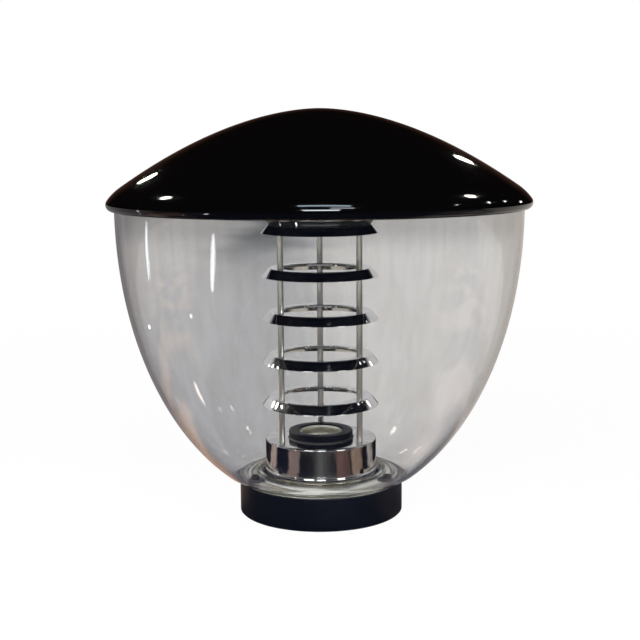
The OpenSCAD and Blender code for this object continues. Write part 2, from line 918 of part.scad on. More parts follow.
module clamp_screws() {
  color([0.65, 0.65, 0.67])
    rotate([0, 0, clamp_angle])
      for (y = [-clamp_screw_y, clamp_screw_y])
        translate([clamp_r, y, 0])
          from_below(deck_low - strap_t)
            cap_screw(0, small_head_r, small_head_h, rivet_r, strap_t + small_grip);
}

// The canopy: rolled rim, spun dome and the rib that carries gasket and springs
module canopy() {
  inner_line = side_shift(canopy_line, canopy_wall);
  peak_inside = [0, peak_z - canopy_wall];
  inside = [for (i = [0:len(inner_line) - 2]) inner_line[i]];
  color([0.02, 0.02, 0.025])
    difference() {
      union() {
        turned(concat(canopy_line, [peak_inside], reversed(inside)));
        turned([
          [rib_in, gasket_top],
          [bowl_r, gasket_top],
          [bowl_r, dome_z(bowl_r) - canopy_wall],
          [rib_in, dome_z(rib_in) - canopy_wall]
        ]);
      }
      around(rod_angles, rib_in)
        translate([-1, 0, rivet_z])
          rotate([0, 90, 0])
            cylinder(r = rivet_r + shank_gap, h = rivet_l + 0.5);
    }
}

module canopy_gasket() {
  color([0.1, 0.1, 0.1])
    ring(bowl_r - gasket_inset, bowl_r - mouth_bead_w + gasket_inset, mouth_z, gasket_t);
}

// Leaf springs that hang from the rib and grip the bowl's mouth
module canopy_springs() {
  color([0.7, 0.71, 0.73])
    around(rod_angles, 0)
      difference() {
        rotate([0, 0, -spring_span / 2])
          rotate_extrude(angle = spring_span, $fn = 180)
            translate([rib_in - spring_t, rivet_z + spring_tab - spring_h])
              square([spring_t, spring_h]);
        translate([rib_in - rivet_l, 0, rivet_z])
          rotate([0, 90, 0])
            cylinder(r = rivet_r + shank_gap, h = 2 * rivet_l);
      }
}

module spring_rivets() {
  color([0.75, 0.75, 0.77])
    around(rod_angles, rib_in - spring_t - rivet_head_h)
      translate([0, 0, rivet_z])
        rotate([0, 90, 0]) {
          cylinder(r = rivet_head_r, h = rivet_head_h);
          cylinder(r = rivet_r, h = rivet_head_h + rivet_l);
        }
}

collar();
bowl_gasket();
bowl();
bowl_clips();
clip_screws();
mirror_cup();
cup_pillars();
tie_rods();
rod_lock_nuts();
spacers(1);  // spacers_1
spacers(2);  // spacers_2
spacers(3);  // spacers_3
spacers(4);  // spacers_4
spacers(5);  // spacers_5
louvre(1);  // louvre_1
louvre(2);  // louvre_2
louvre(3);  // louvre_3
louvre(4);  // louvre_4
louvre(5);  // louvre_5
top_flare();
rod_washers();
rod_dome_nuts();
holder_bracket();
bracket_screws();
holder_screws();
holder_base();
holder_sleeve();
holder_shell();
holder_ring();
screw_shell();
centre_contact();
contact_spring();
terminal_block();
block_screws();
terminal_screws();
live_lead();
neutral_lead();
earth_screw();
cable_clamp();
clamp_screws();
canopy();
canopy_gasket();
canopy_springs();
spring_rivets();
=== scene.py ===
import math

import bmesh
import bpy
from mathutils import Matrix, Vector


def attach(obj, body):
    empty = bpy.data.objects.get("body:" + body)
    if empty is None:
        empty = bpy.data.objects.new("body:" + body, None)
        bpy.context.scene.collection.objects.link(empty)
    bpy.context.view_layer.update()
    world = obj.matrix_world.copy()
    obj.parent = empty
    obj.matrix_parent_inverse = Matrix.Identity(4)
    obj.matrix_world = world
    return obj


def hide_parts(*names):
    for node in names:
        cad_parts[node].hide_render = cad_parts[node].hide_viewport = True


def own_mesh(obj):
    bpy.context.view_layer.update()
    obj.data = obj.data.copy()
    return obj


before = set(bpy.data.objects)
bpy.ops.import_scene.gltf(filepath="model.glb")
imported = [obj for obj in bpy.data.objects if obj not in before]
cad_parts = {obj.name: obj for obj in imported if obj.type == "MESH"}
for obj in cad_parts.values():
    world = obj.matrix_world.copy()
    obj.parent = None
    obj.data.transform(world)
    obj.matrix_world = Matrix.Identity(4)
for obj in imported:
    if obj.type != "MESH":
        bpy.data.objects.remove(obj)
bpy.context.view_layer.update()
scene = bpy.context.scene
scene.view_settings.view_transform = "Standard"

# The photograph's view: a long lens in front of the light, a little above its middle,
# looking down by about eight degrees and turned by a hair.
VIEW_PLACE = (-0.0001, -1.1812, 0.3690)
VIEW_DOWN = 8.38
VIEW_ROLL = -0.00668

lens = bpy.data.cameras.new("view")
lens.sensor_width = 36
lens.lens = 66.44
lens.clip_start = 0.05
lens.clip_end = 60
viewer = bpy.data.objects.new("view", lens)
scene.collection.objects.link(viewer)
tilt = Matrix.Rotation(math.radians(90 - VIEW_DOWN), 4, "X")
roll = Matrix.Rotation(VIEW_ROLL, 4, "Z")
viewer.matrix_world = Matrix.Translation(VIEW_PLACE) @ tilt @ roll
scene.camera = viewer


# The studio: a pale floor that runs to the horizon and a white room round it. The room is
# pale at the height of the light and dark overhead, as a hall with its lamps switched off is.
class Wire:
    """One socket of a node tree. Sums and products that are written with it add their Math nodes."""

    def __init__(self, tree, socket):
        self.tree, self.socket = tree, socket

    def node(self, kind, settings=None, out=0, **inputs):
        """Adds a node. Settings come first, then the sockets, by name or as _0, _1 by number."""
        made = self.tree.nodes.new(kind)
        for name, value in (settings or {}).items():
            if name == "stops":
                ramp = made.color_ramp.elements
                while len(ramp) < len(value):
                    ramp.new(0.5)
                for stop, (place, colour) in zip(ramp, value):
                    stop.position, stop.color = place, (*colour, 1)
            else:
                setattr(made, name, value)
        return Wire(self.tree, made.outputs[out] if made.outputs else None).feed(made, **inputs)

    def feed(self, made=None, **inputs):
        """Sets or links sockets of a node, by default of the one that this socket is on."""
        made = made or self.socket.node
        for name, value in inputs.items():
            socket = made.inputs[int(name[1:]) if name[1:].isdigit() else name.replace("_", " ")]
            if isinstance(value, Wire):
                self.tree.links.new(value.socket, socket)
            else:
                socket.default_value = value
        return self

    def other(self, name):
        """Another output of the same node."""
        return Wire(self.tree, self.socket.node.outputs[name])

    def math(self, operation, *values):
        """A Math node over numbers and sockets."""
        sockets = {f"_{i}": value for i, value in enumerate(values)}
        return self.node("ShaderNodeMath", {"operation": operation}, **sockets)

    def __add__(self, b):
        return self.math("ADD", self, b)

    def __radd__(self, a):
        return self.math("ADD", a, self)

    def __sub__(self, b):
        return self.math("SUBTRACT", self, b)

    def __rsub__(self, a):
        return self.math("SUBTRACT", a, self)

    def __mul__(self, b):
        return self.math("MULTIPLY", self, b)

    def __rmul__(self, a):
        return self.math("MULTIPLY", a, self)

    def __truediv__(self, b):
        return self.math("DIVIDE", self, b)

    def __rtruediv__(self, a):
        return self.math("DIVIDE", a, self)

    def __pow__(self, b):
        return self.math("POWER", self, b)

    def step(self, low, high, floor=0.0, top=1.0):
        """Eases from floor to top while this goes from low to high."""
        return self.node("ShaderNodeMapRange", {"interpolation_type": "SMOOTHSTEP"},
                         _0=self, _1=low, _2=high, _3=floor, _4=top)

    def blend(self, a, b):
        """The colour a where this is 0 and b where it is 1."""
        a, b = ((*c, 1) if isinstance(c, tuple) else c for c in (a, b))
        return self.node("ShaderNodeMix", {"data_type": "RGBA"}, 2, _0=self, _6=a, _7=b)


def sight(wire):
    """Shares of the rays: seen directly, through the bowl, in a mirror inside the bowl, in a gloss outside.
    The last value dims what a mirror shows of another mirror."""
    path = wire.node("ShaderNodeLightPath", out="Is Camera Ray")
    clean = 1 - path.math("MINIMUM", path.other("Diffuse Depth"), 1.0)
    clear = path.other("Is Transmission Ray")
    mirrored = path.math("MINIMUM", path.other("Glossy Depth"), 1.0) * clean
    deep = clear * path.math("GREATER_THAN", path.other("Transmission Depth"), 2.5)
    again = 1 - path.math("GREATER_THAN", path.other("Glossy Depth"), 1.5) * 0.85
    return path, clear * (1 - mirrored) * clean, mirrored * deep, mirrored * (1 - deep), again


ROOM_WHITE = (1.0, 1.0, 1.0)
ROOM_WARM = (1.0, 0.5, 0.36)
DAYLIGHT = 0.42

room = bpy.data.worlds.new("room")
room.use_nodes = True
scene.world = room
air = Wire(room.node_tree, room.node_tree.nodes["Background"].outputs[0])
direct, through, inside, outside, again = sight(air)
toward = air.node("ShaderNodeSeparateXYZ", _0=air.node("ShaderNodeTexCoord", out="Generated"))
rise = toward.other("Z")
hall = rise.step(0.38, 0.5, 1.0, 0.006) * toward.other("Y").step(-0.6, 0.2, 0.4, 0.9)
dusk = 0.004 + toward.other("Y").step(0.86, 1.0) * rise.step(0.0, 0.4, 0.09, 0.0)
level = direct + through * toward.step(-0.3, 0.3, 0.8, 1.0) + inside * hall * again + outside * dusk
air.feed(Color=outside.blend(ROOM_WHITE, ROOM_WARM),
         Strength=level + (1 - direct - through - inside - outside) * DAYLIGHT)


# The floor is painted in three ways: what the clear plastic shows of it, what the mirrors
# inside the bowl show, and what the gloss of bowl and canopy shows. The camera sees it plain.
def new_finish(name):
    """A material and the socket of its Principled shader."""
    finish = bpy.data.materials.new(name)
    finish.use_nodes = True
    tree = finish.node_tree
    return finish, Wire(tree, tree.nodes["Principled BSDF"].outputs[0])


def show(finish, shader):
    """Makes a shader the surface of a material."""
    finish.node_tree.links.new(shader.socket, finish.node_tree.nodes["Material Output"].inputs["Surface"])


def spot_on(wire):
    """Where a point lies on its own object, in metres."""
    return wire.node("ShaderNodeTexCoord", out="Object")


def from_axis(spot):
    """How far a point lies from its object's upright axis, from its separated place."""
    return (spot * spot + spot.other("Y") * spot.other("Y")) ** 0.5


def noise(wire, scale, detail=2.0):
    """Noise over the object, scale in cells per metre."""
    return wire.node("ShaderNodeTexNoise", Vector=spot_on(wire), Scale=scale, Detail=detail)


FLOOR_GREY = (0.8, 0.8, 0.8, 1)
FLOOR_HALF = 20

ground_paint, ground = new_finish("ground")
ground.feed(Base_Color=FLOOR_GREY, Roughness=0.9, Specular_IOR_Level=0.0)
direct, through, inside, outside, again = sight(ground)
at = ground.node("ShaderNodeSeparateXYZ", _0=spot_on(ground))
away = at.other("Y")
reach = from_axis(at)

# Through the plastic, painted shade: grey on the left and near white on the right, as of a
# backdrop lit from the right, dimmed far off, and with a painted dark strip of shade far off.
PAINTED_SHADE_AT = -0.24
drift = at + (noise(ground, 1.3) - 0.5) * 0.35
far_left = drift.step(-1.4, -0.8).blend((0.55, 0.55, 0.56), (0.84, 0.82, 0.79))
beyond = drift.step(-0.7, -0.2).blend(far_left, (0.7, 0.7, 0.71))
beyond = drift.step(-0.1, 0.12).blend(beyond, (1.0, 0.98, 0.95))
# Painted shade: the floor far off is darkened where it is seen through the plastic.
painted_far_shade = beyond.node("ShaderNodeVectorMath", {"operation": "SCALE"}, _0=beyond, _3=0.68)
beyond = away.step(2.6, 4.2).blend(beyond, painted_far_shade)
# Painted shade: a dark strip far off on the left.
painted_shade_strip = ground.math("ABSOLUTE", drift - PAINTED_SHADE_AT).step(0.02, 0.22, 1.0, 0.0) * away.step(1.6, 4.2)
beyond = painted_shade_strip.blend(beyond, (0.17, 0.18, 0.18))

# In the mirrors: stripes round the light, by their share of a turn from the back over the left.
# They stand for the windows and doors of a room, and end in a plain dark or pale distance.
CUP_STRIPES = [
    (0.0, (0.85, 0.82, 0.8)), (0.04, (0.85, 0.8, 0.76)),
    (0.055, (0.02, 0.02, 0.02)), (0.17, (0.03, 0.02, 0.02)),
    (0.185, (0.85, 0.68, 0.6)), (0.225, (0.62, 0.48, 0.43)),
    (0.24, (0.006, 0.006, 0.01)), (0.315, (0.008, 0.01, 0.02)),
    (0.325, (0.5, 0.36, 0.32)), (0.375, (0.38, 0.29, 0.26)),
    (0.39, (0.006, 0.006, 0.008)), (0.45, (0.03, 0.03, 0.03)),
    (0.5, (0.16, 0.16, 0.15)), (0.57, (0.03, 0.03, 0.03)),
    (0.585, (0.22, 0.13, 0.11)), (0.65, (0.2, 0.12, 0.1)),
    (0.66, (0.012, 0.012, 0.012)),
    (0.675, (0.5, 0.37, 0.28)), (0.73, (0.36, 0.24, 0.18)),
    (0.745, (0.006, 0.006, 0.008)), (0.78, (0.01, 0.008, 0.01)),
    (0.795, (0.9, 0.85, 0.8)), (0.83, (0.5, 0.44, 0.4)),
    (0.85, (0.015, 0.012, 0.012)), (0.945, (0.02, 0.02, 0.02)),
    (0.96, (0.85, 0.82, 0.8)), (1.0, (0.85, 0.82, 0.8))]
turn = ground.math("ARCTAN2", at, -1 * away) / (2 * math.pi) + 0.5 + (noise(ground, 16, 3) - 0.5) * 0.04
stripes = ground.node("ShaderNodeValToRGB", {"stops": CUP_STRIPES}, Fac=turn)
front = ground.math("ABSOLUTE", turn - 0.5)
horizon = reach.step(0.9, 2.2).blend((0.13, 0.13, 0.12), (0.95, 0.94, 0.88))
distant = front.step(0.1, 0.13).blend(horizon, (0.11, 0.105, 0.07))
distant = front.step(0.45, 0.47).blend(distant, (0.6, 0.59, 0.55))
beside = reach.step(0.13, 0.17).blend((0.75, 0.7, 0.6), stripes)
bands = reach.step(0.42, 0.6).blend(beside, distant)

# In the gloss: dark in front, with warm patches at the sides; behind the light it is grey on
# the left and pale on the right.
patches = noise(ground, 4.5, 1.5).step(0.45, 0.62) * front.step(0.14, 0.22) * reach.step(1.0, 1.7, 1.0, 0.2)
warm = at.step(-0.2, 0.2).blend((0.8, 0.5, 0.34), (0.7, 0.55, 0.52))
behind = at.step(-0.05, 0.05).blend((0.26, 0.24, 0.25), (0.62, 0.57, 0.53))
boards = away.step(-0.1, 0.3).blend(patches.blend((0.03, 0.038, 0.075), warm), behind)

seen = inside.blend(through.blend((1, 1, 1), beyond), bands)
glow = ground.node("ShaderNodeEmission", Color=outside.blend(seen, boards), Strength=again)
share = direct * reach.step(0.2, 1.8, 0.955, 1.0) + through * 0.97 + inside + outside
show(ground_paint, ground.node("ShaderNodeMixShader", _0=share, _1=ground, _2=glow))

plane = bpy.data.meshes.new("floor")
plane.from_pydata([(-FLOOR_HALF, -FLOOR_HALF, 0), (FLOOR_HALF, -FLOOR_HALF, 0),
                   (FLOOR_HALF, FLOOR_HALF, 0), (-FLOOR_HALF, FLOOR_HALF, 0)], [], [(0, 1, 2, 3)])
plane.materials.append(ground_paint)
floor = bpy.data.objects.new("floor", plane)
scene.collection.objects.link(floor)


# The lamps: two soft ones light the scene and can't be seen in a gloss. Each of the others
# is a highlight, and is placed by the spot of the head that mirrors it to the camera.
def lamp(name, place, aim, size, power, colour=(1, 1, 1), shape="RECTANGLE"):
    """A flat studio lamp that stands at place and shines towards aim."""
    light = bpy.data.lights.new(name, "AREA")
    light.shape = shape
    light.size, light.size_y = size
    light.energy, light.color = power, colour
    stand = bpy.data.objects.new(name, light)
    facing = (Vector(aim) - Vector(place)).to_track_quat("-Z", "Y").to_matrix().to_4x4()
    stand.matrix_world = Matrix.Translation(place) @ facing
    scene.collection.objects.link(stand)
    return stand


def beam(name, round_by, radius, height, lean, far, size, level, colour=(1, 1, 1), turn=0.0,
         shape="ELLIPSE", spread=180):
    """A lamp that shows as a highlight on the head.

    The highlight's place is given in degrees round from the front and by its radius and height in
    millimetres; lean says how many degrees the surface faces up there. The lamp stands far metres
    off, where the camera sees it mirrored. Size is in metres, level in radiance.
    """
    angle, up = math.radians(round_by), math.radians(lean)
    outward = Vector((math.sin(angle), -math.cos(angle), 0))
    place = (outward * radius + Vector((0, 0, height))) / 1000
    face = outward * math.cos(up) + Vector((0, 0, math.sin(up)))
    ray = (place - Vector(VIEW_PLACE)).normalized()
    mirrored = ray - 2 * ray.dot(face) * face
    power = level * math.pi * size[0] * size[1]
    light = lamp(name, place + mirrored * far, place, size, power, colour, shape)
    light.matrix_world = light.matrix_world @ Matrix.Rotation(math.radians(turn), 4, "Z")
    light.data.spread = math.radians(spread)


MIDDLE = (0, 0, 0.2)
key = lamp("key", (-0.9, -1.7, 1.6), MIDDLE, (0.7, 0.7), 28)
fill = lamp("fill", (1.4, -1.5, 1.1), MIDDLE, (0.6, 0.6), 15)
for soft in (key, fill):
    soft.visible_glossy = False

beam("left_long", -60.98, 180.3, 340.9, 56.92, 1.2, (0.025, 0.105), 40, (1, 0.97, 0.8))
beam("left_spot", -41.3, 202.2, 325.3, 47.02, 1.2, (0.1, 0.1), 30, (1, 0.98, 0.85), 69)
beam("right_long", 59.12, 155.6, 356, 59.95, 1.2, (0.028, 0.11), 40, (1, 0.95, 0.8))
beam("right_spot", 40.39, 202.3, 325.1, 46.68, 1.2, (0.1, 0.1), 30, (1, 0.98, 0.85), -79)
beam("window_pane", 1.12, 206.7, 320.4, 39.35, 1.2, (0.42, 0.07), 9, (0.7, 0.88, 1.0), -7, "RECTANGLE")
beam("window_sill", 5.23, 208.4, 318.3, 35.97, 1.2, (0.2, 0.08), 8, (0.9, 0.95, 1.0), -17, "RECTANGLE")
beam("far_lamp_1", 34.26, 208.2, 318.5, 36.35, 1.2, (0.016, 0.07), 14, (0.9, 0.95, 1), -74)
beam("far_lamp_2", 45.54, 207.7, 319.2, 37.5, 1.2, (0.022, 0.055), 30, (1, 1, 1), -43)
beam("far_lamp_3", 52.68, 207.8, 319, 37.5, 1.2, (0.018, 0.04), 20, (1, 1, 1), -54)
beam("far_lamp_4", 61.67, 209.1, 317.2, 31.04, 1.2, (0.05, 0.12), 14, (1, 0.85, 0.78), -66)
beam("front_window", 0.36, 85, 36, 35.01, 1.5, (0.36, 0.4), 20, (0.85, 0.94, 1.0), 0, "RECTANGLE")
beam("front_strip", -27.26, 200.5, 271, -4.28, 0.5, (0.026, 0.17), 7, (1, 1, 1), -14)
beam("side_strip", -50.36, 200.9, 276.8, -3.6, 0.6, (0.02, 0.16), 5, (0.8, 0.9, 1), -17)
beam("low_lamp_1", -35.77, 194.1, 221.6, -10.53, 0.4, (0.01, 0.014), 8, (1, 1, 0.96))
beam("low_lamp_2", -55.54, 190.8, 205.5, -12.77, 0.4, (0.009, 0.009), 16, (1, 1, 0.96))
beam("ring_glint_1", -60.01, 55.6, 116.5, 40.17, 0.5, (0.1, 0.024), 20, (1, 0.96, 0.88), 8, spread=8)
beam("ring_glint_2", -53.01, 55.5, 116.5, 40.17, 0.5, (0.08, 0.03), 26, (1, 0.98, 0.92), -12, spread=8)
beam("ring_glint_3", -45.01, 55.4, 116.5, 40.18, 0.5, (0.06, 0.014), 12, (1, 0.94, 0.85), 10, spread=8)


# The collar is one aluminium casting with a satin black powder coat. Three bosses inside
# take the bolts of the pole, and its deck carries the bowl, the mirror cup and the wiring.
def dress(finish, *names):
    """Gives CAD nodes their finish."""
    for name in names:
        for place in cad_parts[name].material_slots:
            place.material = finish


def bump(wire, height, strength, depth):
    """A Bump node over a height, depth in metres."""
    return wire.node("ShaderNodeBump", Height=height, Strength=strength, Distance=depth)


powder, coat = new_finish("black_powder_coat")
fleck = noise(coat, 900, 3)
cloud = noise(coat, 30)
coat.feed(Base_Color=cloud.blend((0.0015, 0.0025, 0.006), (0.003, 0.0045, 0.009)),
          Roughness=0.36 + 0.12 * cloud + 0.05 * fleck, Specular_IOR_Level=0.2,
          Normal=bump(coat, fleck, 0.35, 0.00012))
dress(powder, "collar")


# Seals: a ring of cream silicone rubber lies in the collar's groove under the bowl, and another
# one lies on the bowl's mouth under the canopy's rib. Both are punched from moulded sheet.
def worn_finish(name, low, high, rough, wear, relief, grain=None, **fixed):
    """A finish whose colour and roughness drift with one noise.

    Rough is a base and what the noise adds, wear the noise's scale and detail, and relief the
    bumps' strength and depth. The bumps follow the same noise, or a finer one of scale grain.
    """
    finish, shader = new_finish(name)
    drift = noise(shader, *wear)
    height = noise(shader, grain) if grain else drift
    shader.feed(Base_Color=drift.blend(low, high), Roughness=rough[0] + rough[1] * drift,
                Normal=bump(shader, height, *relief), **fixed)
    return finish


rubber = worn_finish("seal_rubber", (0.66, 0.6, 0.4), (0.76, 0.71, 0.54), rough=(0.6, 0.15), wear=(140, 4),
                     relief=(0.4, 0.0001), grain=1500)
dress(rubber, "bowl_gasket", "canopy_gasket")

# Zinc-plated steel parts: the bent strip that hangs the lamp holder, and the screws, lock
# nuts and rivets round it.
zinc = worn_finish("zinc_steel", (0.44, 0.45, 0.47), (0.6, 0.61, 0.63), rough=(0.26, 0.2), wear=(220, 5),
                   relief=(0.2, 0.00005), grain=2600, Metallic=1.0)
dress(zinc, "holder_bracket", "bracket_screws", "holder_screws", "block_screws", "clamp_screws",
      "rod_lock_nuts", "spring_rivets")

# The wiring under the deck: a glazed block with brass screws for three poles, two short
# leads in silicone sleeves, the earth screw and a nylon clamp for the cable from the pole.
glaze = worn_finish("white_ceramic", (0.78, 0.76, 0.69), (0.86, 0.85, 0.8), rough=(0.14, 0.12), wear=(60, 3),
                    relief=(0.15, 0.0001), grain=500, Coat_Weight=0.4)
dress(glaze, "terminal_block", "holder_base")

brass = worn_finish("contact_brass", (0.72, 0.51, 0.19), (0.5, 0.33, 0.13), rough=(0.2, 0.25), wear=(300, 4),
                    relief=(0.15, 0.00005), grain=3000, Metallic=1.0)
dress(brass, "terminal_screws", "earth_screw", "centre_contact")

for lead, sleeve, shade in (("live_lead", "brown_lead", (0.11, 0.045, 0.02)),
                            ("neutral_lead", "blue_lead", (0.02, 0.06, 0.22))):
    dress(worn_finish(sleeve, shade, tuple(0.75 * c for c in shade), rough=(0.4, 0.2), wear=(400, 3),
                      relief=(0.2, 0.0001)), lead)

nylon = worn_finish("clamp_plastic", (0.022, 0.022, 0.024), (0.04, 0.04, 0.042), rough=(0.5, 0.15),
                    wear=(90, 4), relief=(0.35, 0.00008), grain=2200)
dress(nylon, "cable_clamp")


# The lamp holder: a glazed ceramic body with a plated screw shell in it, held under a ridged
# black shell whose top ring is a glossy moulding. The lamp screws into the shell.
def eased(outline, radius, cuts=4, closed=True):
    """An outline of (radius, height) points with its corners rounded."""
    soft = []
    for i, corner in enumerate(outline):
        here = Vector(corner)
        if not closed and i in (0, len(outline) - 1):
            soft.append(here)
            continue
        to_last, to_next = Vector(outline[i - 1]) - here, Vector(outline[(i + 1) % len(outline)]) - here
        reach = min(radius, 0.45 * to_last.length, 0.45 * to_next.length)
        start, end = here + to_last.normalized() * reach, here + to_next.normalized() * reach
        for k in range(cuts + 1):
            t = k / cuts
            soft.append(start * (1 - t) ** 2 + here * 2 * t * (1 - t) + end * t ** 2)
    return soft


def facing_out(mesh, sharp=35):
    """Turns every face of a closed mesh outwards and shades it smooth between its edges."""
    shape = bmesh.new()
    shape.from_mesh(mesh)
    bmesh.ops.remove_doubles(shape, verts=shape.verts, dist=1e-6)
    bmesh.ops.recalc_face_normals(shape, faces=shape.faces)
    shape.to_mesh(mesh)
    shape.free()
    mesh.shade_smooth()
    mesh.set_sharp_from_angle(angle=math.radians(sharp))
    return mesh


def round_row(shape, radii, z):
    """One round of points about Z, from their radii and their height in millimetres."""
    angles = [2 * math.pi * k / len(radii) for k in range(len(radii))]
    return [shape.verts.new((r / 1000 * math.cos(a), r / 1000 * math.sin(a), z / 1000))
            for r, a in zip(radii, angles)]


def bridge(shape, rows, closed=True):
    """Faces from each round of points to the next, and from the last one back to the first."""
    for here, after in zip(rows, rows[1:] + (rows[:1] if closed else [])):
        for k in range(len(here)):
            j = (k + 1) % len(here)
            shape.faces.new((here[k], here[j], after[j], after[k]))


def as_mesh(name, shape, sharp=35):
    """A mesh from its rounds of points."""
    mesh = bpy.data.meshes.new(name)
    shape.to_mesh(mesh)
    shape.free()
    return facing_out(mesh, sharp)


def turned(name, outlines, round_steps=144, closed=True):
    """A mesh turned about Z from outlines of (radius, height) points in millimetres."""
    shape = bmesh.new()
    for outline in outlines:
        bridge(shape, [round_row(shape, [r] * round_steps, z) for r, z in outline], closed)
    return as_mesh(name, shape)


def piece(name, mesh, body, finish, slot, *nodes):
    """Puts a finished mesh into the scene, on its body, in place of its CAD nodes."""
    thing = mesh if isinstance(mesh, bpy.types.Object) else bpy.data.objects.new(name, mesh)
    if thing.name not in scene.collection.objects:
        scene.collection.objects.link(thing)
    if not thing.data.materials:
        thing.data.materials.append(finish)
    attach(thing, body)
    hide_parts(*nodes)
    return thing


HOLDER_R = 32.6
SLEEVE_R = 27.6
RIM_R = 21.2
FIT = 0.1
RING_LOW = 76.0
HOLDER_TOP = 82.4
RING_SLOPE = (1.5, 1.4)

cream = worn_finish("cream_ceramic", (0.74, 0.71, 0.62), (0.85, 0.83, 0.76), rough=(0.16, 0.14), wear=(45, 4),
                    relief=(0.15, 0.0001), grain=420, Coat_Weight=0.3)
dress(cream, "holder_sleeve")

ring_paint = worn_finish("ring_black", (0.001, 0.001, 0.0015), (0.003, 0.003, 0.004), rough=(0.3, 0.15),
                         wear=(70, 3), relief=(0.12, 0.00006), grain=1400, Specular_IOR_Level=0.12)
ring_bore = RIM_R + FIT
collar_ring = [(ring_bore, RING_LOW), (HOLDER_R, RING_LOW), (HOLDER_R, HOLDER_TOP),
               (ring_bore + RING_SLOPE[0], HOLDER_TOP), (ring_bore, HOLDER_TOP - RING_SLOPE[1])]
piece("lamp_ring", turned("lamp_ring", [eased(collar_ring, 1.3, 6)]), "head", ring_paint, "ring_black",
      "holder_ring")

# The ridged shell is a black moulding that goes over the ceramic body, under the glossy ring.
# Its wall carries rounded ridges one above the other, each with a narrow flat groove after it.
RIDGE_PITCH = 3.6
RIDGES = 8
RIDGE_DEPTH = 1.3
RIDGE_CUTS, CROWN_CUTS = 12, 9

ridged = worn_finish("ribbed_black", (0.02, 0.02, 0.02), (0.05, 0.048, 0.045), rough=(0.36, 0.16),
                     wear=(260, 4), relief=(0.2, 0.0001), Specular_IOR_Level=0.3)
root = HOLDER_R - RIDGE_DEPTH
ridge_low = RING_LOW - RIDGES * RIDGE_PITCH
swell = [math.sin(math.pi * min(1, k / CROWN_CUTS)) ** 0.8 for k in range(RIDGE_CUTS)]
ribbed = [(SLEEVE_R + FIT, ridge_low)]
ribbed += [(root + RIDGE_DEPTH * share, ridge_low + RIDGE_PITCH * n + RIDGE_PITCH * k / RIDGE_CUTS)
           for n in range(RIDGES) for k, share in enumerate(swell)]
ribbed += [(root, RING_LOW), (SLEEVE_R + FIT, RING_LOW)]
piece("lamp_shell", turned("lamp_shell", [ribbed], 120), "head", ridged, "ribbed_black", "holder_shell")

# The screw shell is a plated tube. Its rolled thread climbs inside the sleeve as one helix,
# with a plain mouth above that guides the lamp in and a floor with a hole for the contact.
MOUTH_R = 20.0
THREAD_DEPTH = 1.3
THREAD_PITCH = 6.35
THREAD_LOW, THREAD_TOP, SHELL_TOP = 44.0, 73.9, 79.4
RUN_OUT = 4.0
SHELL_WALL = 0.5
END_R, CONTACT_HOLE, END_DROP = 18.7, 8.0, 1.5
SHELL_AROUND, SHELL_UP = 72, 72

plated = worn_finish("plated_shell", (0.92, 0.9, 0.8), (0.8, 0.77, 0.66), rough=(0.3, 0.2), wear=(160, 5),
                     relief=(0.12, 0.00005), grain=2400, Metallic=1.0)


def thread_r(z, turn):
    """Radius inside the shell, at height z and at a share of one turn."""
    fade = min(1, max(0, (THREAD_TOP - z) / RUN_OUT)) * min(1, max(0, (z - THREAD_LOW) / RUN_OUT))
    wave = 0.5 - 0.5 * math.cos(2 * math.pi * ((z - THREAD_TOP) / THREAD_PITCH - turn))
    return MOUTH_R - THREAD_DEPTH * wave * fade


def wall_row(z, wall):
    """One round of the shell's wall, wall millimetres outside its inner face."""
    return round_row(shell, [thread_r(z, k / SHELL_AROUND) + wall for k in range(SHELL_AROUND)], z)


shell = bmesh.new()
levels = [SHELL_TOP - i * (SHELL_TOP - THREAD_LOW) / SHELL_UP for i in range(SHELL_UP + 1)]
rows = [wall_row(z, 0) for z in levels]
for r, drop in ((END_R, END_DROP), (CONTACT_HOLE, END_DROP), (CONTACT_HOLE, END_DROP + SHELL_WALL),
                (END_R + SHELL_WALL, END_DROP + SHELL_WALL)):
    rows.append(round_row(shell, [r] * SHELL_AROUND, THREAD_LOW - drop))
rows += [wall_row(z, SHELL_WALL) for z in reversed(levels)]
bridge(shell, rows)
piece("lamp_screw_shell", as_mesh("screw_shell", shell, 50), "head", plated, "plated_shell", "screw_shell")

# A small steel coil under the contact's head pushes it up against the lamp. It is wound from
# wire, stands in the base's well and shortens when the lamp presses the contact down. The
# canopy's leaf springs are bent from strip of the same steel.
SPRING_LOW = 33.05
SPRING_HIGH = 43.95
COIL_R = 4.0
COIL_WIRE = 0.8
COIL_TURNS = 4.0

spring = worn_finish("spring_steel", (0.5, 0.5, 0.52), (0.62, 0.62, 0.64), rough=(0.22, 0.15), wear=(500, 3),
                     relief=(0.1, 0.00004), Metallic=1.0)
dress(spring, "canopy_springs")


def new_plan(name, sizes):
    """A Geometry Nodes tree with named sizes: the tree and its inputs by name."""
    tree = bpy.data.node_groups.new(name, "GeometryNodeTree")
    for label, kind in [("Geometry", "Geometry")] + sizes:
        tree.interface.new_socket(label, in_out="INPUT", socket_type="NodeSocket" + kind)
    tree.interface.new_socket("Geometry", in_out="OUTPUT", socket_type="NodeSocketGeometry")
    start = tree.nodes.new("NodeGroupInput")
    return tree, {socket.name: Wire(tree, socket) for socket in start.outputs if socket.name}


def end_plan(tree, shape, finish):
    """Ends a tree in Realize Instances and Set Material."""
    real = shape.node("GeometryNodeRealizeInstances", Geometry=shape)
    coated = shape.node("GeometryNodeSetMaterial", Geometry=real, Material=finish)
    tree.links.new(coated.socket, tree.nodes.new("NodeGroupOutput").inputs[0])


